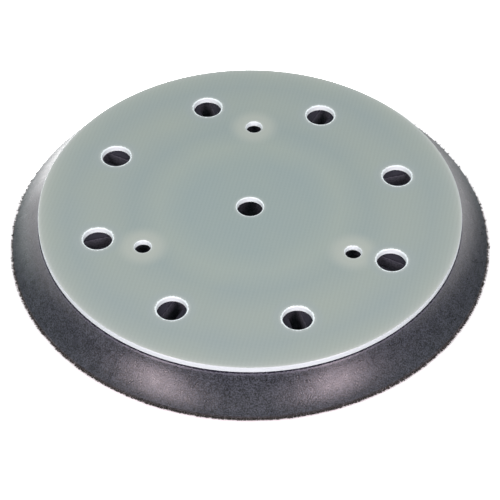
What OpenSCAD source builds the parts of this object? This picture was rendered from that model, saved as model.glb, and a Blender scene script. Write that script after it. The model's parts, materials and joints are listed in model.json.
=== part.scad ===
// Backing pad of a random orbital sander, 125 mm, with eight dust holes and three screw holes.
// It is a stack: hook pile, hook cloth, adhesive film, foam body, adhesive film, backing plate.
// The origin is at the centre of the sanding face. +Z points up, to the machine, and +X through a dust hole.

/* [Pad] */
// Diameter of the sanding face
pad_d = 125; // [119:0.5:152]
// Diameter of the backing plate
plate_d = 110.4; // [104:0.2:117]

/* [Layers] */
// Thickness of the backing plate
plate_t = 1.5; // [1:0.1:3]
// Thickness of the adhesive film under the plate
plate_bond_t = 0.1; // [0.05:0.05:0.3]
// Height of the foam body
foam_t = 7.9; // [5:0.1:20]
// Thickness of the adhesive film under the foam
grip_bond_t = 0.1; // [0.05:0.05:0.3]
// Thickness of the hook cloth
cloth_t = 0.35; // [0.2:0.05:1]
// Height of the hooks
pile_t = 0.85; // [0.5:0.05:2]

/* [Machine side] */
// Diameter of the centre hole in the plate
centre_hole_d = 6.8; // [4:0.1:10]
// Number of screws that hold the pad to the machine
screw_count = 3; // [2:1:4]
// Diameter of the circle that the screws lie on
screw_circle_d = 62; // [60:0.5:63]
// Diameter of a screw hole in the plate
screw_hole_d = 4.3; // [3:0.1:6]
// Turn of the first screw from the dust hole on +X
screw_turn = 71.25; // [65:0.25:75]

/* [Dust holes] */
// Number of dust holes
dust_count = 8; // [4:1:8]
// Diameter of the circle that the dust holes lie on
dust_circle_d = 81.5; // [80:0.5:92]
// Diameter of a dust hole in the plate and in the hook cloth
dust_hole_d = 7.6; // [5:0.1:9]
// Width of the radial slot in the foam under a dust hole
slot_w = 3.6; // [2:0.1:5]
// Length of the slot past the dust hole at each end
slot_overrun = 1.4; // [0.2:0.1:1.6]

/* [Foam] */
// Diameter of the bores that let the screws and a screwdriver in from below
screw_bore_d = 8; // [7:0.1:9.6]
// Diameter of the centre bore
centre_bore_d = 12; // [10:0.5:20]
// Width of the foam that shows round the plate
foam_lip = 0.25; // [0.1:0.05:0.6]
// Height of the upright edge at the foot of the flank
edge_land = 0.25; // [0.1:0.05:1]
// Hollow of the flank, measured from a straight line
flank_hollow = 0.7; // [0.2:0.05:1.2]
// Height of the seam between the foam's edge and the plate
seam_h = 0.3; // [0.1:0.05:0.6]
// Depth of the seam, inwards from the plate's edge
seam_depth = 0.8; // [0.4:0.1:1.5]

/* [Trims and clearances] */
// Chamfer on the plate's rim and round its holes
plate_break = 0.15; // [0.05:0.05:0.3]
// Distance that a film or cloth stops short of an edge
film_inset = 0.3; // [0.1:0.05:1]
// Bare ring of the plate outside the adhesive
bare_rim_w = 4; // [2:0.1:5]
// Diameter of the bare patch round a screw
bare_screw_d = 13; // [10:0.1:14]
// Radius of the bare ring nearer to the centre
inner_gap_r = 23.6; // [21:0.1:25]
// Width of the bare ring nearer to the centre
inner_gap_w = 8.2; // [2:0.1:9]
// Radius of the bare ring that the dust holes lie in
outer_gap_r = 39.7; // [39:0.1:41]
// Width of the bare ring that the dust holes lie in
outer_gap_w = 11.6; // [8:0.1:12]

/* [Hidden] */
$fn = 96;

// Height at which each layer starts
cloth_z = pile_t;
grip_bond_z = cloth_z + cloth_t;
foam_z = grip_bond_z + grip_bond_t;
plate_bond_z = foam_z + foam_t;
plate_z = plate_bond_z + plate_bond_t;

// Radii
pad_r = pad_d / 2;
plate_r = plate_d / 2;
dust_circle_r = dust_circle_d / 2;
screw_circle_r = screw_circle_d / 2;

// The flank is an arc in section, from the seam down to the land at the foot.
flank_top = [plate_r + foam_lip, foam_t - seam_h];
flank_foot = [pad_r, edge_land];
flank_run = flank_foot - flank_top;
flank_chord = norm(flank_run);
flank_arc_r = (flank_chord * flank_chord / 4 + flank_hollow * flank_hollow) / (2 * flank_hollow);
flank_outward = [-flank_run[1], flank_run[0]] / flank_chord;
flank_centre = (flank_top + flank_foot) / 2 + flank_outward * (flank_arc_r - flank_hollow);

// How far a cutting shape runs past the face it cuts
cut = 1;

// Places its children on each dust hole, with X pointing outwards.
module at_dust_holes() {
    for (i = [0 : dust_count - 1])
        rotate([0, 0, i * 360 / dust_count])
            translate([dust_circle_r, 0, 0])
                children();
}

// Places its children on each screw.
module at_screws() {
    for (i = [0 : screw_count - 1])
        rotate([0, 0, screw_turn + i * 360 / screw_count])
            translate([screw_circle_r, 0, 0])
                children();
}

// A flat disc that stands on z = 0.
module disc(d, h) {
    cylinder(h = h, d = d);
}

// A cutter for a hole of diameter d through a layer of height h.
module hole(d, h) {
    translate([0, 0, -cut])
        cylinder(h = h + 2 * cut, d = d);
}

// A cutter for a flat ring of middle radius r and width w through a layer of height h.
module ring_cutter(r, w, h) {
    translate([0, 0, -cut])
        linear_extrude(h + 2 * cut)
            difference() {
                circle(r = r + w / 2);
                circle(r = r - w / 2);
            }
}

// A cutter for a plate hole whose upper edge is broken by a chamfer.
module broken_hole(d) {
    hole(d, plate_t);
    translate([0, 0, plate_t - plate_break])
        cylinder(h = 2 * plate_break, d1 = d, d2 = d + 4 * plate_break);
}

// A cutter for a radial slot with round ends.
module slot(w, l, h) {
    end = (l - w) / 2;
    translate([0, 0, -cut])
        linear_extrude(h + 2 * cut)
            union() {
                square([2 * end, w], center = true);
                translate([end, 0]) circle(d = w);
                translate([-end, 0]) circle(d = w);
            }
}

// The holes that every layer below the foam has.
module grip_holes(h) {
    hole(centre_bore_d, h);
    at_screws() hole(screw_bore_d, h);
    at_dust_holes() hole(dust_hole_d, h);
}

// Glass fibre laminate disc that the machine's screws pull against.
module backing_plate() {
    color([0.63, 0.67, 0.66])
        translate([0, 0, plate_z])
            difference() {
                union() {
                    disc(plate_d, plate_t - plate_break);
                    translate([0, 0, plate_t - plate_break])
                        cylinder(h = plate_break, d1 = plate_d, d2 = plate_d - 2 * plate_break);
                }
                broken_hole(centre_hole_d);
                at_screws() broken_hole(screw_hole_d);
                at_dust_holes() broken_hole(dust_hole_d);
            }
}

// Adhesive between plate and foam, laid as three rings. The middle one stops round the screws.
module plate_bond() {
    color([0.16, 0.15, 0.2])
        translate([0, 0, plate_bond_z])
            difference() {
                disc(plate_d - 2 * bare_rim_w, plate_bond_t);
                hole(centre_bore_d, plate_bond_t);
                ring_cutter(inner_gap_r, inner_gap_w, plate_bond_t);
                ring_cutter(outer_gap_r, outer_gap_w, plate_bond_t);
                at_screws() hole(bare_screw_d, plate_bond_t);
                at_dust_holes() hole(dust_hole_d + 2 * film_inset, plate_bond_t);
            }
}

// Section of the foam body, from the axis to the hollow flank.
module foam_section() {
    seat_r = plate_r - seam_depth;
    difference() {
        polygon([
            [0, 0],
            [pad_r, 0],
            [pad_r, flank_top[1]],
            [seat_r, flank_top[1]],
            [seat_r, foam_t],
            [0, foam_t]
        ]);
        translate(flank_centre) circle(r = flank_arc_r);
    }
}

// Moulded polyurethane foam that carries the sanding face.
module foam_body() {
    color([0.3, 0.29, 0.32])
        translate([0, 0, foam_z])
            difference() {
                rotate_extrude() foam_section();
                hole(centre_bore_d, foam_t);
                at_screws() hole(screw_bore_d, foam_t);
                at_dust_holes() slot(slot_w, dust_hole_d + 2 * slot_overrun, foam_t);
            }
}

// Adhesive between foam and hook cloth.
module grip_bond() {
    color([0.2, 0.2, 0.22])
        translate([0, 0, grip_bond_z])
            difference() {
                disc(pad_d - 2 * film_inset, grip_bond_t);
                grip_holes(grip_bond_t);
            }
}

// Knitted ground cloth that the hooks stand on.
module grip_cloth() {
    color([0.17, 0.17, 0.17])
        translate([0, 0, cloth_z])
            difference() {
                disc(pad_d, cloth_t);
                grip_holes(cloth_t);
            }
}

// The layer that the hooks fill.
module hook_pile() {
    color([0.22, 0.21, 0.2])
        difference() {
            disc(pad_d, pile_t);
            grip_holes(pile_t);
        }
}

backing_plate();
plate_bond();
foam_body();
grip_bond();
grip_cloth();
hook_pile();
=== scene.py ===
# %% [markdown]
# # The backing pad of a random orbital sander
#
# The pad is a stack of six layers. A stiff disc of glass fibre laminate is on top, a moulded foam body
# carries the load, and a cloth covered in nylon hooks holds the sanding disc. Two thin films of adhesive
# join them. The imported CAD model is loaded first, as a fixed frame. Layers whose CAD shape is already right
# keep it and get a real finish. The foam and the hooks are made again here, because their look depends on
# soft edges and on thousands of small parts.

# %% Load the frame
import bmesh
import bpy
import json
import math
from mathutils import Matrix, Vector, noise


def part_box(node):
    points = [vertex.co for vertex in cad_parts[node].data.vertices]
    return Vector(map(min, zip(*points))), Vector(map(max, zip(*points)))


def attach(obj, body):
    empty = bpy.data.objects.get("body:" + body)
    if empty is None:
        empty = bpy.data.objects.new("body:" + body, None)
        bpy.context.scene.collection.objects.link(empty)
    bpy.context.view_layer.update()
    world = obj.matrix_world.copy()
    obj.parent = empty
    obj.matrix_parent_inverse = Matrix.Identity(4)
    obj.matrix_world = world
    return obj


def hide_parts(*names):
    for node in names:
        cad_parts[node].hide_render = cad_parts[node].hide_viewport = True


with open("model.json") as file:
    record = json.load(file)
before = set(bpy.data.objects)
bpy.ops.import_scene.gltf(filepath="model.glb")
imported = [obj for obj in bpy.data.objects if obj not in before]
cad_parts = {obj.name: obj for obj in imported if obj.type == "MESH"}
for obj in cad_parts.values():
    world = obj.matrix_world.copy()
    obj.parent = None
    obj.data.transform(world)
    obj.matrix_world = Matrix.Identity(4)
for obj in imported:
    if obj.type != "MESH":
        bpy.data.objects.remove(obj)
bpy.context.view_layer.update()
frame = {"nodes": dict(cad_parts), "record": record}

print("layers:", sorted(frame["nodes"]))

# %% [markdown]
# ## Sizes
#
# Every size comes from the frame. A layer's height is its box in Z. A layer's radius is the distance of its
# furthest vertex from the axis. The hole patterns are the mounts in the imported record.

# %% Measure the frame
MM = 0.001


def reach(node):
    """Distance from the axis to the furthest vertex of a layer."""
    return max(v.co.xy.length for v in frame["nodes"][node].data.vertices)


mounts = {mount["name"]: mount for mount in frame["record"]["mounts"]}
dust = mounts["dust_ports"]["dims"]
screws = mounts["screw_circle"]["dims"]
first_screw = Vector(mounts["screw_hole_1"]["pos_m"])

PAD_R = reach("hook_pile")
PLATE_R = reach("backing_plate")
PLATE_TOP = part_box("backing_plate")[1].z
FOAM_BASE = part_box("foam_body")[0].z
FOAM_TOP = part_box("foam_body")[1].z
CLOTH_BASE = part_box("grip_cloth")[0].z

DUST_COUNT = dust["count"]
DUST_CIRCLE_R = dust["pcd_mm"] / 2 * MM
DUST_R = dust["hole_r_mm"] * MM
SCREW_COUNT = screws["count"]
SCREW_CIRCLE_R = screws["pcd_mm"] / 2 * MM
SCREW_R = screws["hole_r_mm"] * MM
SCREW_TURN = math.atan2(first_screw.y, first_screw.x)
SCREW_WELL_R = mounts["screw_well_1"]["dims"]["r_mm"] * MM
CENTRE_R = mounts["centre_bore"]["dims"]["r_mm"] * MM
CENTRE_WELL_R = mounts["centre_access"]["dims"]["r_mm"] * MM

print(f"pad {2 * PAD_R / MM:.1f} mm, plate {2 * PLATE_R / MM:.1f} mm, height {PLATE_TOP / MM:.1f} mm")

# %% [markdown]
# ## Camera
#
# The camera comes before anything that is made. It looks down at about 46 degrees with a long lens, as for
# a small product on a table. It is placed by the direction and the distance from a point on the plate.

# %% Place the camera
AIM = Vector((-4.53, -15.1, 10.8)) * MM
AZIMUTH = math.radians(-16.7)
ELEVATION = math.radians(45.87)
DISTANCE = 457.6 * MM
LENS_MM = 129.3
SENSOR_MM = 36


def direction(azimuth, elevation):
    """Unit vector from the pad towards a place round it. Azimuth 0 is in front, on -Y."""
    flat = math.cos(elevation)
    return Vector((math.sin(azimuth) * flat, -math.cos(azimuth) * flat, math.sin(elevation)))


def looking(place, target):
    """Matrix of a camera or lamp at a place, turned to look at a target."""
    turn = (target - place).to_track_quat("-Z", "Y").to_matrix().to_4x4()
    return Matrix.Translation(place) @ turn


camera_data = bpy.data.cameras.new("camera")
camera_data.lens = LENS_MM
camera_data.sensor_width = SENSOR_MM
camera_data.clip_start = 10 * MM
camera = bpy.data.objects.new("camera", camera_data)
camera.matrix_world = looking(AIM + DISTANCE * direction(AZIMUTH, ELEVATION), AIM)
bpy.context.scene.collection.objects.link(camera)
bpy.context.scene.camera = camera
print(f"camera: {LENS_MM} mm lens, {DISTANCE / MM:.0f} mm away, {math.degrees(ELEVATION):.0f} degrees up")

# %% [markdown]
# ## Helpers for meshes and nodes
#
# One function adds a node of any kind, with its settings and its links. A link may be a plain value, a
# socket, or a node, which stands for its first output. Colours are written as sRGB hex and turned into the
# linear values that the renderer needs.

# %% Node, colour and mesh helpers


def linear(code):
    """Linear RGBA from an sRGB hex colour."""
    parts = [int(code[i:i + 2], 16) / 255 for i in (1, 3, 5)]
    return [p / 12.92 if p <= 0.04045 else ((p + 0.055) / 1.055) ** 2.4 for p in parts] + [1.0]


def add(tree, kind, links=None, stops=(), **settings):
    """Adds a node. links maps an input to a value, a socket or a node. stops are (position, hex colour)."""
    node = tree.nodes.new(kind)
    for name, value in settings.items():
        setattr(node, name, value)
    for key, value in (links or {}).items():
        if isinstance(value, bpy.types.Node):
            value = next(s for s in value.outputs if s.enabled)
        if isinstance(value, bpy.types.NodeSocket):
            tree.links.new(value, node.inputs[key])
        else:
            node.inputs[key].default_value = value
    for _ in stops[2:]:
        node.color_ramp.elements.new(0.5)
    for (position, code), element in zip(stops, node.color_ramp.elements if stops else ()):
        element.position = position
        element.color = linear(code)
    return node


def new_material(name, roughness):
    """A material with one roughness all over. Returns it, its tree and its Principled shader."""
    material = bpy.data.materials.new(name)
    material.use_nodes = True
    tree = material.node_tree
    shader = next(n for n in tree.nodes if n.type == "BSDF_PRINCIPLED")
    shader.inputs["Roughness"].default_value = roughness
    return material, tree, shader


def plain_object(name, mesh):
    """An object at the origin that carries a mesh."""
    thing = bpy.data.objects.new(name, mesh)
    bpy.context.scene.collection.objects.link(thing)
    return thing


def settle(thing):
    """Turns an object's live modifiers into plain mesh and removes them."""
    graph = bpy.context.evaluated_depsgraph_get()
    made = bpy.data.meshes.new_from_object(thing.evaluated_get(graph))
    thing.modifiers.clear()
    thing.data = made
    return thing


# %% [markdown]
# ## Laminate of the backing plate
#
# The plate is woven glass cloth set in epoxy, about 1.5 mm thick, satin and slightly see-through. Three
# things show in it. Faint warm rings and patches are where there is no dark adhesive under it. A weave of
# about 1 mm shows as very faint lines. Wherever it is cut, at its rim and round every hole, the fibres are
# bruised and look white. Painting these by hand would need an image. Here they are worked out from where a
# point lies: its distance from the axis, and from the nearest hole of each pattern.

# %% Distances that the laminate's pattern is drawn from


def from_axis(tree, place):
    """Distance of a place from the pad's axis."""
    flat = add(tree, "ShaderNodeVectorMath", {0: place, 1: (1, 1, 0)}, operation="MULTIPLY")
    return add(tree, "ShaderNodeVectorMath", {0: flat}, operation="LENGTH").outputs["Value"]


def from_nearest(tree, radius, angle, circle_r, count, turn):
    """Distance to the nearest of the holes evenly spaced on a circle, found by folding the angle."""
    half = math.pi / count
    turned = add(tree, "ShaderNodeMath", {0: angle, 1: turn}, operation="SUBTRACT")
    folded = add(tree, "ShaderNodeMath", {0: turned, 1: half, 2: -half}, operation="WRAP")
    along = add(tree, "ShaderNodeMath", {0: folded}, operation="COSINE")
    across = add(tree, "ShaderNodeMath", {0: folded}, operation="SINE")
    here = add(tree, "ShaderNodeCombineXYZ", {0: along, 1: across})
    point = add(tree, "ShaderNodeVectorMath", {0: here, "Scale": radius}, operation="SCALE")
    apart = add(tree, "ShaderNodeVectorMath", {0: point, 1: (circle_r, 0, 0)}, operation="DISTANCE")
    return apart.outputs["Value"]


def halo(tree, colour, distance, near, far, share, code):
    """Lays a tint over a colour, by a share up to the near distance and fading out at the far one."""
    fading = add(tree, "ShaderNodeMapRange", {
        "Value": distance, "From Min": near, "From Max": far, "To Min": share, "To Max": 0.0},
        interpolation_type="SMOOTHSTEP")
    return add(tree, "ShaderNodeMix", {0: fading, 6: colour, 7: linear(code)}, data_type="RGBA")


print(f"{DUST_COUNT} dust holes, {SCREW_COUNT} screws, the first at {math.degrees(SCREW_TURN):.2f} degrees")

# %% Rings of adhesive that show through the laminate
RINGS = ((0.0, "#9CAAA9"), (16.5, "#9CAAA9"), (23.6, "#A2AEAA"), (30.4, "#9CA9A8"), (37.6, "#A2ADA9"),
         (41.0, "#A2ADA9"), (47.6, "#9EAAA9"), (51.0, "#A2ADAA"), (52.8, "#A6B0AC"), (54.2, "#AEB6B2"),
         (54.95, "#B8BFBB"))


def ring_tint(tree, radius):
    """Colour by distance from the axis. RINGS has each distance in millimetres, out to the rim."""
    share = add(tree, "ShaderNodeMath", {0: radius, 1: PLATE_R}, operation="DIVIDE")
    stops = [(distance * MM / PLATE_R, code) for distance, code in RINGS]
    return add(tree, "ShaderNodeValToRGB", {0: share}, stops=stops)


print("ring tints:", len(RINGS))

# %% Woven glass cloth and clouds in the epoxy
WEAVE_PERIOD = 1.05 * MM
WEAVE_TURN = math.radians(-29)
WEFT_SHARE = 0.35
CLOUD = 14 * MM


def wave_scale(period):
    """Scale at which Blender's wave texture repeats once per period. It has 20 radians to a unit."""
    return 2 * math.pi / (20 * period)


def glass_weave(tree, place):
    """Height of the woven threads. The warp stands out more than the weft."""
    turned = add(tree, "ShaderNodeMapping", {0: place, "Rotation": (0, 0, -WEAVE_TURN)})
    threads = {"Vector": turned, "Scale": wave_scale(WEAVE_PERIOD), "Distortion": 0.6,
               "Detail": 2.0, "Detail Scale": 1.5}
    warp = add(tree, "ShaderNodeTexWave", threads, bands_direction="X").outputs["Fac"]
    weft = add(tree, "ShaderNodeTexWave", threads, bands_direction="Y")
    return add(tree, "ShaderNodeMath", {0: weft, 1: WEFT_SHARE, 2: warp}, operation="MULTIPLY_ADD")


def clouded(tree, place, tint, weave):
    """A tint with faint cool and warm clouds, and with the weave a little darker between its threads."""
    clouds = add(tree, "ShaderNodeTexNoise", {"Vector": place, "Scale": 1 / CLOUD, "Detail": 2.0})
    cloudy = add(tree, "ShaderNodeMix", {0: clouds, 6: linear("#EDF4F5"), 7: linear("#F7FAF2")},
                 data_type="RGBA")
    woven = add(tree, "ShaderNodeMix", {0: weave, 6: linear("#FAFAFA"), 7: linear("#FFFFFF")},
                data_type="RGBA")
    tinted = add(tree, "ShaderNodeMix", {0: 1.0, 6: tint, 7: cloudy}, data_type="RGBA",
                 blend_type="MULTIPLY")
    return add(tree, "ShaderNodeMix", {0: 1.0, 6: tinted, 7: woven}, data_type="RGBA",
               blend_type="MULTIPLY")


print(f"weave scale: {wave_scale(WEAVE_PERIOD):.0f}")

# %% Bruised white fibres at every cut edge
# Single fibres are too fine to show, so the border is ragged at the width of a strand.
FRAY = 0.5 * MM
BORDER = 0.12 * MM
BLOOM = 0.9 * MM


def bruised(tree, colour, place, edges):
    """Whitens each cut edge, with a ragged border and a soft bloom outside it."""
    frayed = add(tree, "ShaderNodeTexNoise", {"Vector": place, "Scale": 1 / FRAY, "Detail": 3.0})
    centred = add(tree, "ShaderNodeMath", {0: frayed, 1: 0.5}, operation="SUBTRACT")
    for distance, edge, width, fray, tint in edges:
        wobbled = add(tree, "ShaderNodeMath", {0: centred, 1: fray, 2: distance}, operation="MULTIPLY_ADD")
        colour = halo(tree, colour, wobbled, edge + width, edge + width + BLOOM, 0.3, "#C4CBC8")
        colour = halo(tree, colour, wobbled, edge + width - BORDER, edge + width + BORDER, 1.0, tint)
    return colour


print(f"bruised border: {2 * BORDER / MM:.2f} mm soft, bloom outside it: {BLOOM / MM:.1f} mm")


# %% Glass fibre laminate, epoxy, ground satin
def laminate():
    """Satin and even. The epoxy gives it a soft gloss, and the glass gives it its grey-green."""
    material, tree, shader = new_material("glass_fibre_laminate", roughness=0.38)
    place = add(tree, "ShaderNodeTexCoord").outputs["Object"]
    parts = add(tree, "ShaderNodeSeparateXYZ", {0: place})
    angle = add(tree, "ShaderNodeMath", {0: parts.outputs["Y"], 1: parts.outputs["X"]}, operation="ARCTAN2")
    radius = from_axis(tree, place)
    from_dust = from_nearest(tree, radius, angle, DUST_CIRCLE_R, DUST_COUNT, 0.0)
    from_screw = from_nearest(tree, radius, angle, SCREW_CIRCLE_R, SCREW_COUNT, SCREW_TURN)
    to_rim = add(tree, "ShaderNodeMath", {0: PLATE_R, 1: radius}, operation="SUBTRACT")
    weave = glass_weave(tree, place)
    colour = clouded(tree, place, ring_tint(tree, radius), weave)

    # the patch without adhesive round a screw, and the cooler ring just outside a dust hole
    colour = halo(tree, colour, from_screw, SCREW_R + 1.2 * MM, SCREW_R + 5.6 * MM, 0.85, "#ABB5AC")
    colour = halo(tree, colour, from_dust, DUST_R + 1.2 * MM, DUST_R + 3.4 * MM, 0.55, "#98A6A5")

    # distance, edge, width of the white, its raggedness and its tint
    colour = bruised(tree, colour, place, (
        (from_dust, DUST_R, 0.36 * MM, 0.8 * MM, "#E8F6F6"),
        (from_screw, SCREW_R, 0.16 * MM, 0.3 * MM, "#E8F6F6"),
        (radius, CENTRE_R, 0.28 * MM, 0.2 * MM, "#E8F6F6"),
        # the rim's cut edge is bruised white fibre too; its darker tint than the holes' is painted shade, set
        # because the lamps light the rim's side far more than the walls of the holes
        (to_rim, 0.0, 0.14 * MM, 0.15 * MM, "#BFCACC")))
    tree.links.new(colour.outputs[2], shader.inputs["Base Color"])

    grain = add(tree, "ShaderNodeTexNoise", {"Vector": place, "Scale": 1 / (0.35 * MM), "Detail": 3.0})
    height = add(tree, "ShaderNodeMath", {0: weave, 1: grain}, operation="ADD")
    bump = add(tree, "ShaderNodeBump", {"Strength": 0.25, "Distance": 0.01 * MM, "Height": height})
    tree.links.new(bump.outputs[0], shader.inputs["Normal"])
    return material


plate = frame["nodes"]["backing_plate"]
plate.data.materials.clear()
plate.data.materials.append(laminate())
print("plate faces:", len(plate.data.polygons))

# %% [markdown]
# ## Foam body
#
# Polyurethane foam is moulded in one shot against a polished mould, so its outside has a closed, satin skin
# and its cut passages show open cells. A cloth simulation would suit a loose cushion. This foam is stiff
# and keeps its moulded shape, so it is made as a section turned round the axis, then cut with the dust
# slots and the screw wells, and last given the slight unevenness of a moulding.

# %% Sizes of the foam body that the frame doesn't hold
LIP_W = 0.25 * MM
LAND_H = 0.25 * MM
FLANK_HOLLOW = 0.7 * MM
SEAM_H = 0.3 * MM
SEAM_DEPTH = 0.8 * MM
SLOT_W = 3.6 * MM
SLOT_OVERRUN = 1.4 * MM
LIP_ROUND = 0.12 * MM
FOOT_ROUND = 0.1 * MM
TURNS = 480
FLANK_STEPS = 18
print(f"foam: {(FOAM_TOP - FOAM_BASE) / MM:.1f} mm high, slots {SLOT_W / MM:.1f} mm wide")


# %% Section of the foam
def hollow_flank(top, foot, hollow, steps):
    """Points of an arc from the foot of the flank up to its top, hollow by the given depth."""
    chord = top - foot
    radius = (chord.length ** 2 / 4 + hollow ** 2) / (2 * hollow)
    outward = Vector((chord.y, -chord.x)).normalized()
    centre = (top + foot) / 2 + outward * (radius - hollow)
    start = (foot - centre).to_2d()
    sweep = 2 * math.asin(chord.length / 2 / radius)
    points = []
    for i in range(steps + 1):
        turn = -sweep * i / steps
        points.append(centre + Matrix.Rotation(turn, 2) @ start)
    return points


def foam_section():
    """Outline of the foam's section as (radius, height) points, from the bore round to the bore."""
    top = Vector((PLATE_R + LIP_W, FOAM_TOP - SEAM_H))
    foot = Vector((PAD_R, FOAM_BASE + LAND_H))
    seat_r = PLATE_R - SEAM_DEPTH
    under = [Vector((CENTRE_WELL_R, FOAM_BASE)), Vector((PAD_R - FOOT_ROUND, FOAM_BASE))]
    edge = [Vector((PAD_R, FOAM_BASE + FOOT_ROUND))]
    flank = hollow_flank(top, foot, FLANK_HOLLOW, FLANK_STEPS)[:-1]
    round_lip = [(0.4 * LIP_ROUND, -LIP_ROUND), (-0.3 * LIP_ROUND, -0.2 * LIP_ROUND), (-LIP_ROUND, 0)]
    lip = [top + Vector(step) for step in round_lip]
    seam = [Vector((seat_r, FOAM_TOP - SEAM_H)), Vector((seat_r, FOAM_TOP))]
    return under + edge + flank + lip + seam + [Vector((CENTRE_WELL_R, FOAM_TOP))]


section = foam_section()
print("section points:", len(section))


# %% Turn the section round the axis
def turned_mesh(name, outline, turns):
    """Closed mesh made by turning an outline round the Z axis."""
    mesh = bpy.data.meshes.new(name)
    vertices = []
    for i in range(turns):
        angle = 2 * math.pi * i / turns
        vertices += [(p.x * math.cos(angle), p.x * math.sin(angle), p.y) for p in outline]
    count = len(outline)
    faces = []
    for i in range(turns):
        here = i * count
        there = (i + 1) % turns * count
        for j in range(count):
            k = (j + 1) % count
            faces.append((here + j, there + j, there + k, here + k))
    mesh.from_pydata(vertices, [], faces)
    return mesh


foam = plain_object("moulded_foam", turned_mesh("moulded_foam", section, TURNS))
print("foam faces before cutting:", len(foam.data.polygons))


# %% Cutters for the dust slots and the screw wells
def slot_outline(width, length, steps=16):
    """Outline of a slot along X with round ends."""
    points = []
    for side in (1, -1):
        middle = Vector((side * (length - width) / 2, 0))
        start = 0 if side == 1 else math.pi
        for i in range(steps + 1):
            angle = math.pi * (i / steps - 0.5) + start
            points.append(middle + Vector((math.cos(angle), math.sin(angle))) * width / 2)
    return points


def placed(outline, circle_r, angle):
    """Outline moved out along X by a radius, then turned round the axis."""
    turn = Matrix.Rotation(angle, 2)
    return [turn @ (p + Vector((circle_r, 0))) for p in outline]


def prism(shape, outline, low, high):
    """Adds a closed upright prism with the given flat outline to a bmesh."""
    bottom = [shape.verts.new((p.x, p.y, low)) for p in outline]
    top = [shape.verts.new((p.x, p.y, high)) for p in outline]
    shape.faces.new(list(reversed(bottom)))
    shape.faces.new(top)
    for i in range(len(outline)):
        j = (i + 1) % len(outline)
        shape.faces.new((bottom[i], bottom[j], top[j], top[i]))


def foam_cutters():
    """One mesh that holds the eight dust slots and the three screw wells."""
    shape = bmesh.new()
    low = FOAM_BASE - MM
    high = FOAM_TOP + MM
    slot = slot_outline(SLOT_W, 2 * DUST_R + 2 * SLOT_OVERRUN)
    for i in range(DUST_COUNT):
        prism(shape, placed(slot, DUST_CIRCLE_R, 2 * math.pi * i / DUST_COUNT), low, high)

    # a round well is a slot that is hardly longer than it is wide
    well = slot_outline(2 * SCREW_WELL_R, 2 * SCREW_WELL_R + 0.01 * MM, steps=32)
    for i in range(SCREW_COUNT):
        angle = SCREW_TURN + 2 * math.pi * i / SCREW_COUNT
        prism(shape, placed(well, SCREW_CIRCLE_R, angle), low, high)
    mesh = bpy.data.meshes.new("foam_cutters")
    shape.to_mesh(mesh)
    shape.free()
    return plain_object("foam_cutters", mesh)


cutters = foam_cutters()
print("cutter faces:", len(cutters.data.polygons))

# %% Cut the passages and give the foam a moulding's unevenness
SLOW_WAVE = 9 * MM
QUICK_WAVE = 2.2 * MM
UNEVENNESS = 0.06 * MM
SHARP_EDGE = math.radians(32)


def uneven(mesh, inner_r, depth):
    """Moves the skin in and out by a smooth noise, as a moulding's walls wander. Nothing inside moves."""
    for vertex in mesh.vertices:
        out = vertex.co.xy.length
        if out < inner_r:
            continue
        slow = noise.noise(vertex.co / SLOW_WAVE)
        quick = noise.noise(vertex.co / QUICK_WAVE + Vector((5, 3, 1)))
        shift = depth * (slow + 0.35 * quick - 0.6)
        vertex.co.x *= 1 + shift / out
        vertex.co.y *= 1 + shift / out


cut = foam.modifiers.new("passages", "BOOLEAN")
cut.operation = "DIFFERENCE"
cut.solver = "EXACT"
cut.object = cutters
settle(foam)
bpy.data.objects.remove(cutters)
uneven(foam.data, PLATE_R + 0.1 * MM, UNEVENNESS)
foam.data.shade_smooth()
foam.data.set_sharp_from_angle(angle=SHARP_EDGE)
print("foam faces:", len(foam.data.polygons))

# %% [markdown]
# ## Skin of the foam
#
# Polyurethane skin is dark, slightly bluish grey and satin. The mould leaves a fine grain in it, and the
# skin is a little thicker in some places than others, which gives it soft mottles. Inside the passages the
# skin is cut away and the cells show. Under the plate some adhesive was squeezed out. The lip just below
# it is lightened in its colour, a painted highlight where it catches the light. All of these are drawn by
# noises and by heights, so no image is needed.

# %% Adhesive squeezed out over the foam's lip, with a painted highlight on the lip below it
SQUEEZE = 0.4 * MM
SQUEEZE_DRIP = 0.55 * MM
SQUEEZE_ENDS = -0.3 * MM
SQUEEZE_EDGE = 0.12 * MM
LIP_HIGHLIGHT = 0.4 * MM


def squeezed_out(tree, place, body):
    """Dark adhesive with a ragged lower edge on top of a body colour, and a painted highlight on the lip just
    below it.
    """
    height = add(tree, "ShaderNodeSeparateXYZ", {0: place}).outputs["Z"]
    depth = add(tree, "ShaderNodeMath", {0: FOAM_TOP - SEAM_H, 1: height}, operation="SUBTRACT")
    drips = add(tree, "ShaderNodeTexNoise", {"Vector": place, "Scale": 1 / SQUEEZE_DRIP, "Detail": 3.0})
    ragged = add(tree, "ShaderNodeMath", {0: drips, 1: -2 * SQUEEZE, 2: depth}, operation="MULTIPLY_ADD")
    # painted highlight: the lip just below the adhesive is lightened, as where it catches the light
    highlighted = add(tree, "ShaderNodeMapRange", {
        "Value": ragged, "From Min": SQUEEZE_ENDS, "From Max": SQUEEZE_ENDS + LIP_HIGHLIGHT,
        "To Min": 0.5, "To Max": 0.0})
    lipped = add(tree, "ShaderNodeMix", {0: highlighted, 6: body, 7: linear("#6A6976")}, data_type="RGBA")
    squeezed = add(tree, "ShaderNodeMapRange", {
        "Value": ragged, "From Min": SQUEEZE_ENDS - SQUEEZE_EDGE, "From Max": SQUEEZE_ENDS,
        "To Min": 1.0, "To Max": 0.0})
    return add(tree, "ShaderNodeMix", {0: squeezed, 6: lipped, 7: linear("#1B1A27")}, data_type="RGBA")


print(f"squeezed-out adhesive: drips about {SQUEEZE_DRIP / MM:.2f} mm wide, worn lip {LIP_HIGHLIGHT / MM:.1f} mm")

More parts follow.
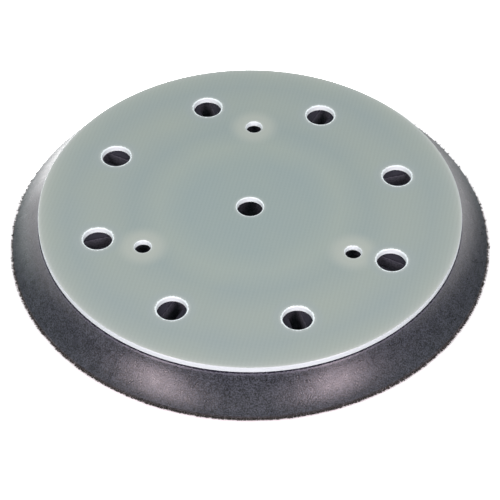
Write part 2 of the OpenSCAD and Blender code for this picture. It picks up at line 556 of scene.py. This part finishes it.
# %% Moulded polyurethane skin, self-skinned in a polished mould
# The real grain and cells are finer, and are drawn as coarse as they need to be to show.
SKIN_GRAIN = 0.34 * MM
SKIN_MOTTLE = 2.0 * MM
CELL = 0.5 * MM


def foam_skin():
    """Satin, with fine grain and soft mottles. The cut cells inside are dull."""
    material, tree, shader = new_material("moulded_polyurethane_skin", roughness=0.4)
    place = add(tree, "ShaderNodeTexCoord").outputs["Object"]
    mottle = add(tree, "ShaderNodeTexNoise", {"Vector": place, "Scale": 1 / SKIN_MOTTLE, "Detail": 3.0})
    grain = add(tree, "ShaderNodeTexNoise", {"Vector": place, "Scale": 1 / SKIN_GRAIN, "Detail": 3.0})
    tint = add(tree, "ShaderNodeValToRGB", {0: mottle}, stops=[(0.3, "#383B44"), (0.7, "#454952")])
    speck = add(tree, "ShaderNodeValToRGB", {0: grain}, stops=[(0.39, "#5C5C5C"), (0.62, "#FFFFFF")])
    skin = add(tree, "ShaderNodeMix", {0: 1.0, 6: tint, 7: speck}, data_type="RGBA", blend_type="MULTIPLY")

    # open cells, wherever the skin is cut away inside
    inside = add(tree, "ShaderNodeMapRange", {
        "Value": from_axis(tree, place), "From Min": PLATE_R - SEAM_DEPTH - 0.3 * MM,
        "From Max": PLATE_R - SEAM_DEPTH, "To Min": 1.0, "To Max": 0.0})
    cells = add(tree, "ShaderNodeTexVoronoi", {"Vector": place, "Scale": 1 / CELL})
    cut_tint = add(tree, "ShaderNodeValToRGB", {0: cells}, stops=[(0.0, "#1E2028"), (0.6, "#4C4E57")])
    body = add(tree, "ShaderNodeMix", {0: inside, 6: skin, 7: cut_tint}, data_type="RGBA")
    colour = squeezed_out(tree, place, body)
    tree.links.new(colour.outputs[2], shader.inputs["Base Color"])

    gloss = add(tree, "ShaderNodeMapRange", {"Value": mottle, "From Min": 0.3, "From Max": 0.7,
                                             "To Min": 0.26, "To Max": 0.34})
    dull = add(tree, "ShaderNodeMix", {0: inside, 2: gloss, 3: 0.85})
    tree.links.new(dull.outputs[0], shader.inputs["Roughness"])
    skin_bump = add(tree, "ShaderNodeBump", {"Strength": 0.7, "Distance": 0.06 * MM, "Height": grain})
    soft_bump = add(tree, "ShaderNodeBump", {"Strength": 0.3, "Distance": 0.1 * MM, "Height": mottle,
                                             "Normal": skin_bump})
    tree.links.new(soft_bump.outputs[0], shader.inputs["Normal"])
    return material


foam.data.materials.clear()
foam.data.materials.append(foam_skin())
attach(foam, "root")
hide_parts("foam_body")
print("foam skin:", foam.data.materials[0].name)

# %% [markdown]
# ## Adhesive films
#
# The films are rolled or brushed on and cure dark and slightly rubbery. Their shape in the frame is already
# right, so they keep it. Roller marks show as soft uneven patches, so a noise drives the gloss.

# %% Cured contact adhesive, rolled on
ROLLER_MARK = 1.4 * MM


def adhesive():
    """Dark and rubbery, glossy where it lies thick."""
    material, tree, shader = new_material("cured_contact_adhesive", roughness=0.5)
    place = add(tree, "ShaderNodeTexCoord").outputs["Object"]
    marks = add(tree, "ShaderNodeTexNoise", {"Vector": place, "Scale": 1 / ROLLER_MARK, "Detail": 4.0})
    tint = add(tree, "ShaderNodeValToRGB", {0: marks}, stops=[(0.35, "#1B1A22"), (0.7, "#2A2833")])
    tree.links.new(tint.outputs[0], shader.inputs["Base Color"])
    gloss = add(tree, "ShaderNodeMapRange", {"Value": marks, "To Min": 0.35, "To Max": 0.7})
    tree.links.new(gloss.outputs[0], shader.inputs["Roughness"])
    bump = add(tree, "ShaderNodeBump", {"Strength": 0.4, "Distance": 0.04 * MM, "Height": marks})
    tree.links.new(bump.outputs[0], shader.inputs["Normal"])
    return material


film = adhesive()
for name in ("plate_bond", "grip_bond"):
    layer = frame["nodes"][name]
    layer.data.materials.clear()
    layer.data.materials.append(film)
    print("adhesive on:", name)

# %% [markdown]
# ## Hook cloth
#
# The hooks stand on a knitted nylon cloth. Its ribs are 0.6 mm apart, and its cut edge is fuzzy.
# The layer's shape in the frame is right, and the ribs are drawn on it with two wave textures.

# %% Warp-knitted nylon ground cloth, dyed black
RIB = 0.6 * MM


def knit():
    """Dull, ribbed, nearly black."""
    material, tree, shader = new_material("knitted_nylon_cloth", roughness=0.8)
    shader.inputs["Sheen Weight"].default_value = 0.25
    place = add(tree, "ShaderNodeTexCoord").outputs["Object"]
    links = {"Vector": place, "Scale": wave_scale(RIB), "Distortion": 1.5, "Detail": 2.0}
    ribs = add(tree, "ShaderNodeTexWave", links, bands_direction="X")
    loops = add(tree, "ShaderNodeTexWave", links, bands_direction="Y")
    knitted = add(tree, "ShaderNodeMath", {0: ribs, 1: loops}, operation="MULTIPLY")
    tint = add(tree, "ShaderNodeValToRGB", {0: knitted}, stops=[(0.0, "#16161A"), (0.8, "#34333A")])
    tree.links.new(tint.outputs[0], shader.inputs["Base Color"])
    bump = add(tree, "ShaderNodeBump", {"Strength": 0.7, "Distance": 0.08 * MM, "Height": knitted})
    tree.links.new(bump.outputs[0], shader.inputs["Normal"])
    return material


cloth = frame["nodes"]["grip_cloth"]
cloth.data.materials.clear()
cloth.data.materials.append(knit())
print(f"cloth ribs: {RIB / MM:.1f} mm apart")

# %% [markdown]
# ## Hooks
#
# A hook is a loop of thick nylon thread that has been cut, so that it stands as a crook. Thousands of them
# stand in staggered rows. Modelling each one by hand makes no sense, and a particle system can't be
# exported. Geometry Nodes place one small crook on a grid, keep only the points that lie under the cloth,
# and turn and lean each one a little at random, with a fixed seed.

# %% One crook of nylon thread
PILE = CLOTH_BASE
CROOK = ((0.0, 0.0, 0.12), (0.02, 0.4, 0.115), (0.1, 0.76, 0.1), (0.27, 0.88, 0.09), (0.4, 0.66, 0.06))


def crook():
    """A bent thread that hangs from the origin. Each row is sideways, down and half thickness, in piles."""
    mesh = bpy.data.meshes.new("crook")
    vertices = []
    faces = [(0, 1, 2)]
    for side, down, thick in CROOK:
        for i in range(3):
            angle = 2 * math.pi * i / 3
            vertices.append(Vector((side + thick * math.cos(angle), thick * math.sin(angle), -down)) * PILE)
    for ring in range(len(CROOK) - 1):
        for i in range(3):
            j = (i + 1) % 3
            low = 3 * ring
            faces.append((low + i, low + 3 + i, low + 3 + j, low + j))
    last = 3 * (len(CROOK) - 1)
    faces.append((last + 2, last + 1, last))
    mesh.from_pydata(vertices, [], faces)
    mesh.shade_smooth()
    return plain_object("crook", mesh)


one_hook = crook()
print("faces of one hook:", len(one_hook.data.polygons))

# %% Nylon monofilament, dyed black, cut
DUST_MARK = 0.8 * MM


def nylon():
    """Smooth thread with a low gloss. Dust and cut ends make it a little lighter and browner in places."""
    material, tree, shader = new_material("nylon_hook_thread", roughness=0.45)
    place = add(tree, "ShaderNodeTexCoord").outputs["Object"]
    dust_marks = add(tree, "ShaderNodeTexNoise", {"Vector": place, "Scale": 1 / DUST_MARK, "Detail": 3.0})
    tint = add(tree, "ShaderNodeValToRGB", {0: dust_marks}, stops=[(0.3, "#1E1D1C"), (0.7, "#3E3C37")])
    tree.links.new(tint.outputs[0], shader.inputs["Base Color"])
    bump = add(tree, "ShaderNodeBump", {"Strength": 0.3, "Distance": 0.02 * MM, "Height": dust_marks})
    tree.links.new(bump.outputs[0], shader.inputs["Normal"])
    return material


hook_thread = nylon()
print("hook thread:", hook_thread.name)


# %% Parts that both Geometry Nodes trees share
def new_geometry_tree(name, sizes):
    """A tree with named inputs and one geometry output. sizes maps an input's name to its type."""
    tree = bpy.data.node_groups.new(name, "GeometryNodeTree")
    for size, kind in sizes.items():
        tree.interface.new_socket(size, in_out="INPUT", socket_type=kind)
    tree.interface.new_socket("Hooks", in_out="OUTPUT", socket_type="NodeSocketGeometry")
    return tree, add(tree, "NodeGroupInput"), add(tree, "NodeGroupOutput")


def either_way(tree, most, seed, step):
    """A random number from minus to plus a size, for each hook. The step keeps one draw from another."""
    least = add(tree, "ShaderNodeMath", {0: most, 1: -1.0}, operation="MULTIPLY")
    own_seed = add(tree, "ShaderNodeMath", {0: seed, 1: step}, operation="ADD")
    return add(tree, "FunctionNodeRandomValue", {2: least, 3: most, 8: own_seed}).outputs[1]


def end_tree(tree, instances, given, output):
    """Makes the instances real, gives them their material and sends them out."""
    real = add(tree, "GeometryNodeRealizeInstances", {0: instances})
    dressed = add(tree, "GeometryNodeSetMaterial", {0: real, "Material": given.outputs["Material"]})
    tree.links.new(dressed.outputs[0], output.inputs[0])


# %% Geometry Nodes tree that sets the hooks under the cloth
HOOK_TURN = 0.7
RAY_LENGTH = 10 * MM


def square_grid(tree, given):
    """Points over the whole pad, one for each hook."""
    side = add(tree, "ShaderNodeMath", {0: given.outputs["Reach"], 1: 2.0}, operation="MULTIPLY")
    columns = add(tree, "ShaderNodeMath", {0: side, 1: given.outputs["Spacing"]}, operation="DIVIDE")
    rows = add(tree, "ShaderNodeMath", {0: side, 1: given.outputs["Row Gap"]}, operation="DIVIDE")
    return add(tree, "GeometryNodeMeshGrid", {"Size X": side, "Size Y": side, "Vertices X": columns,
                                              "Vertices Y": rows})


def every_other_row(tree, given):
    """1 on every other row of the grid and 0 on the rest."""
    place = add(tree, "GeometryNodeInputPosition")
    along = add(tree, "ShaderNodeSeparateXYZ", {0: place}).outputs["Y"]
    row = add(tree, "ShaderNodeMath", {0: along, 1: given.outputs["Row Gap"]}, operation="DIVIDE")
    odd = add(tree, "ShaderNodeMath", {0: row, 1: 2.0}, operation="FLOORED_MODULO")
    return add(tree, "ShaderNodeMath", {0: odd, 1: 1.0}, operation="GREATER_THAN")


def hook_field_tree():
    """Hooks on a staggered grid, wherever a ray straight up meets the cloth."""
    tree, given, output = new_geometry_tree("hook_field", {
        "Cloth": "NodeSocketGeometry", "Hook": "NodeSocketObject", "Material": "NodeSocketMaterial",
        "Reach": "NodeSocketFloat", "Spacing": "NodeSocketFloat", "Row Gap": "NodeSocketFloat",
        "Wander": "NodeSocketFloat", "Lean": "NodeSocketFloat", "Seed": "NodeSocketInt",
    })
    seed = given.outputs["Seed"]
    stagger = every_other_row(tree, given)
    half = add(tree, "ShaderNodeMath", {0: given.outputs["Spacing"], 1: 0.5}, operation="MULTIPLY")
    across = add(tree, "ShaderNodeMath", {0: stagger, 1: half}, operation="MULTIPLY")
    drift_x = either_way(tree, given.outputs["Wander"], seed, 0.0)
    drift_y = either_way(tree, given.outputs["Wander"], seed, 1.0)
    shift_x = add(tree, "ShaderNodeMath", {0: across, 1: drift_x}, operation="ADD")
    shift = add(tree, "ShaderNodeCombineXYZ", {0: shift_x, 1: drift_y})
    spread = add(tree, "GeometryNodeSetPosition", {0: square_grid(tree, given), "Offset": shift})

    ray = add(tree, "GeometryNodeRaycast", {0: given.outputs["Cloth"], "Ray Direction": (0, 0, 1),
                                            "Ray Length": RAY_LENGTH})
    under = next(s for s in ray.outputs if s.name == "Is Hit")
    lean = either_way(tree, given.outputs["Lean"], seed, 2.0)
    about = add(tree, "ShaderNodeMath", {0: stagger, 1: math.pi}, operation="MULTIPLY")
    turn = either_way(tree, HOOK_TURN, seed, 3.0)
    facing = add(tree, "ShaderNodeMath", {0: about, 1: turn}, operation="ADD")
    rotation = add(tree, "ShaderNodeCombineXYZ", {0: lean, 1: lean, 2: facing})
    hook = add(tree, "GeometryNodeObjectInfo", {0: given.outputs["Hook"]}).outputs["Geometry"]
    hooks = add(tree, "GeometryNodeInstanceOnPoints", {
        "Points": spread, "Selection": under, "Instance": hook, "Rotation": rotation})
    raised = add(tree, "GeometryNodeTranslateInstances", {0: hooks, "Translation": (0, 0, PILE)})
    end_tree(tree, raised, given, output)
    return tree


field_tree = hook_field_tree()
print("nodes in the hook field:", len(field_tree.nodes))

# %% Geometry Nodes tree for the fringe of bent hooks and cut threads at the rim
FRINGE_TURN = 0.9
FRINGE_LEAN_OUT = -1.0
FRINGE_LEAN_IN = 0.1
FRINGE_SPARE = 0.3


def fringe_tree():
    """Hooks round a circle that lean outwards by different amounts. A longer one starts higher up."""
    tree, given, output = new_geometry_tree("rim_fringe", {
        "Hook": "NodeSocketObject", "Material": "NodeSocketMaterial", "Radius": "NodeSocketFloat",
        "Count": "NodeSocketInt", "Shortest": "NodeSocketFloat", "Longest": "NodeSocketFloat",
        "Seed": "NodeSocketInt",
    })
    seed = given.outputs["Seed"]
    circle = add(tree, "GeometryNodeMeshCircle", {"Vertices": given.outputs["Count"],
                                                  "Radius": given.outputs["Radius"]})
    size = add(tree, "FunctionNodeRandomValue", {2: given.outputs["Shortest"], 3: given.outputs["Longest"],
                                                 8: seed}).outputs[1]
    raise_seed = add(tree, "ShaderNodeMath", {0: seed, 1: 3.0}, operation="ADD")
    spare = add(tree, "FunctionNodeRandomValue", {2: 0.0, 3: FRINGE_SPARE * PILE, 8: raise_seed}).outputs[1]
    height = add(tree, "ShaderNodeMath", {0: size, 1: 0.95 * PILE, 2: spare}, operation="MULTIPLY_ADD")
    lift = add(tree, "ShaderNodeCombineXYZ", {2: height})
    raised = add(tree, "GeometryNodeSetPosition", {0: circle, "Offset": lift})

    place = add(tree, "GeometryNodeInputPosition")
    parts = add(tree, "ShaderNodeSeparateXYZ", {0: place})
    around = add(tree, "ShaderNodeMath", {0: parts.outputs["Y"], 1: parts.outputs["X"]}, operation="ARCTAN2")
    turn = either_way(tree, FRINGE_TURN, seed, 1.0)
    facing = add(tree, "ShaderNodeMath", {0: around, 1: turn}, operation="ADD")
    lean_seed = add(tree, "ShaderNodeMath", {0: seed, 1: 2.0}, operation="ADD")
    lean = add(tree, "FunctionNodeRandomValue", {2: FRINGE_LEAN_OUT, 3: FRINGE_LEAN_IN, 8: lean_seed})
    rotation = add(tree, "ShaderNodeCombineXYZ", {1: lean.outputs[1], 2: facing})
    hook = add(tree, "GeometryNodeObjectInfo", {0: given.outputs["Hook"]}).outputs["Geometry"]
    hooks = add(tree, "GeometryNodeInstanceOnPoints", {
        "Points": raised, "Instance": hook, "Rotation": rotation, "Scale": size})
    end_tree(tree, hooks, given, output)
    return tree


edge_tree = fringe_tree()
print("nodes in the fringe:", len(edge_tree.nodes))


# %% Set the hooks
def cloth_underside():
    """Flat mesh of the hook cloth's lower face, with its holes."""
    shape = bmesh.new()
    shape.from_mesh(cloth.data)
    bmesh.ops.remove_doubles(shape, verts=shape.verts, dist=0.001 * MM)
    unwanted = [f for f in shape.faces if max(v.co.z for v in f.verts) > CLOTH_BASE + 0.01 * MM]
    bmesh.ops.delete(shape, geom=unwanted, context="FACES")
    mesh = bpy.data.meshes.new("cloth_underside")
    shape.to_mesh(mesh)
    shape.free()
    return mesh


def grown(name, tree, values):
    """A plain mesh object that a Geometry Nodes tree has made. Inputs are set by their identifiers."""
    thing = plain_object(name, cloth_underside())
    modifier = thing.modifiers.new(name, "NODES")
    modifier.node_group = tree
    for item in tree.interface.items_tree:
        if item.in_out == "INPUT" and item.name in values:
            modifier[item.identifier] = values[item.name]
    return settle(thing)


hooks = grown("nylon_hooks", field_tree, {
    "Hook": one_hook, "Material": hook_thread, "Reach": PAD_R, "Spacing": 1.4 * MM, "Row Gap": 1.35 * MM,
    "Wander": 0.12 * MM, "Lean": 0.22, "Seed": 11,
})
fringe = grown("rim_fringe", edge_tree, {
    "Hook": one_hook, "Material": hook_thread, "Radius": PAD_R - 0.15 * MM, "Count": 4600,
    "Shortest": 0.4, "Longest": 1.4, "Seed": 23,
})
bpy.data.objects.remove(one_hook)
for piece in (hooks, fringe):
    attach(piece, "root")
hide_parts("hook_pile")
print("hooks:", len(hooks.data.polygons), "faces, fringe:", len(fringe.data.polygons), "faces")

# %% [markdown]
# ## Floor and light
#
# The pad lies on a white acrylic sheet that is lit from below, and more so behind the pad. A plain white
# sheet under soft light would come out grey, and this one is white right up to the pad. A sky lights
# everything from above and is dimmer low down, so the flank's hollow reads. It has a bright low glow behind
# the pad, which lights the two ends of the flank. Two tall soft boxes stand to the left and right of the
# camera, and give the two soft glints on the front of the flank.

# %% Directions behind the pad
BEHIND = math.radians(90)
BACK_STARTS = 0.5
BACK_FULL = 0.78


def towards_back(tree, place):
    """1 in directions behind the pad and 0 at its sides and in front, from a flat direction."""
    along = add(tree, "ShaderNodeVectorMath", {0: place, 1: (1, 1, 0)}, operation="MULTIPLY")
    unit = add(tree, "ShaderNodeVectorMath", {0: along}, operation="NORMALIZE")
    behind = (math.cos(BEHIND), math.sin(BEHIND), 0)
    facing = add(tree, "ShaderNodeVectorMath", {0: unit, 1: behind}, operation="DOT_PRODUCT")
    links = {"Value": facing.outputs["Value"], "From Min": BACK_STARTS, "From Max": BACK_FULL}
    return add(tree, "ShaderNodeMapRange", links, interpolation_type="SMOOTHSTEP")


print(f"behind: within {math.degrees(math.acos(BACK_STARTS)):.0f} degrees of +Y")

# %% White acrylic sheet, polished, lit from below
FLOOR_HALF = 3.0
LIT_FRONT = 0.44
LIT_BACK = 3.3
LIT_FROM = 1.2 * MM


def lit_acrylic():
    """White and smooth. It shines except where the pad covers it, and more so behind the pad."""
    material, tree, shader = new_material("white_acrylic_sheet", roughness=0.35)
    shader.inputs["Emission Color"].default_value = (1.0, 1.0, 1.0, 1.0)
    place = add(tree, "ShaderNodeTexCoord").outputs["Object"]
    radius = add(tree, "ShaderNodeVectorMath", {0: place}, operation="LENGTH").outputs["Value"]
    back = add(tree, "ShaderNodeMapRange", {"Value": towards_back(tree, place), "To Min": LIT_FRONT,
                                            "To Max": LIT_BACK})
    open_part = add(tree, "ShaderNodeMapRange", {"Value": radius, "From Min": PAD_R,
                                                 "From Max": PAD_R + LIT_FROM})
    lit = add(tree, "ShaderNodeMath", {0: back, 1: open_part}, operation="MULTIPLY")
    tree.links.new(lit.outputs[0], shader.inputs["Emission Strength"])
    grain = add(tree, "ShaderNodeTexNoise", {"Vector": place, "Scale": 1 / (2 * MM), "Detail": 2.0})
    tint = add(tree, "ShaderNodeValToRGB", {0: grain}, stops=[(0.3, "#F7F7F7"), (0.7, "#FAFAFA")])
    tree.links.new(tint.outputs[0], shader.inputs["Base Color"])
    return material


floor_mesh = bpy.data.meshes.new("floor")
corners = [(-FLOOR_HALF, -FLOOR_HALF, 0), (FLOOR_HALF, -FLOOR_HALF, 0),
           (FLOOR_HALF, FLOOR_HALF, 0), (-FLOOR_HALF, FLOOR_HALF, 0)]
floor_mesh.from_pydata(corners, [], [(0, 1, 2, 3)])
floor = plain_object("floor", floor_mesh)
floor.data.materials.append(lit_acrylic())
print(f"floor: {2 * FLOOR_HALF:.0f} m wide, fully lit from {LIT_FROM / MM:.1f} mm outside the pad")

# %% Sky with a low glow behind the pad
SKY_LOW = 0.22
SKY_HIGH = 0.56
GLOW = 1.9


def studio_sky():
    """Sky that is brighter overhead, with a bright low glow behind the pad, as from a lit backdrop."""
    world = bpy.data.worlds.new("studio")
    bpy.context.scene.world = world
    world.use_nodes = True
    sky = world.node_tree
    where = add(sky, "ShaderNodeTexCoord").outputs["Generated"]
    upward = add(sky, "ShaderNodeSeparateXYZ", {0: where}).outputs["Z"]
    overhead = add(sky, "ShaderNodeMapRange", {
        "Value": upward, "From Min": 0.15, "From Max": 0.75, "To Min": SKY_LOW, "To Max": SKY_HIGH},
        interpolation_type="SMOOTHSTEP")
    low = add(sky, "ShaderNodeMapRange", {
        "Value": upward, "From Min": 0.02, "From Max": 0.3, "To Min": 1.0, "To Max": 0.0},
        interpolation_type="SMOOTHSTEP")
    both = add(sky, "ShaderNodeMath", {0: towards_back(sky, where), 1: low}, operation="MULTIPLY")
    glow = add(sky, "ShaderNodeMath", {0: both, 1: GLOW}, operation="MULTIPLY")
    total = add(sky, "ShaderNodeMath", {0: overhead, 1: glow}, operation="ADD")
    backdrop = next(n for n in sky.nodes if n.type == "BACKGROUND")
    backdrop.inputs["Color"].default_value = linear("#EFFFFB")
    sky.links.new(total.outputs[0], backdrop.inputs["Strength"])


studio_sky()
print(f"sky: {SKY_LOW} low down, {SKY_HIGH} overhead, glow {GLOW}")

# %% Soft boxes
LAMP_DISTANCE = 0.9
LAMP_WIDE = 0.19
LAMP_HIGH = 0.55
LAMP_POWER = 5.5


def soft_box(name, azimuth, elevation, tint):
    """Tall soft box that faces the pad. Its azimuth is in degrees from the camera's."""
    data = bpy.data.lights.new(name, "AREA")
    data.shape = "RECTANGLE"
    data.size = LAMP_WIDE
    data.size_y = LAMP_HIGH
    data.energy = LAMP_POWER
    data.color = linear(tint)[:3]
    lamp = bpy.data.objects.new(name, data)
    place = LAMP_DISTANCE * direction(AZIMUTH + math.radians(azimuth), math.radians(elevation))
    lamp.matrix_world = looking(place, Vector((0, 0, 0)))
    bpy.context.scene.collection.objects.link(lamp)
    print(f"{name}: {azimuth} degrees round, {elevation} degrees up, {LAMP_POWER} W")


soft_box("left_soft_box", -42, 33, "#FFEAF2")
soft_box("right_soft_box", 38, 30, "#FFE8F2")
bpy.context.scene.view_settings.view_transform = "Standard"
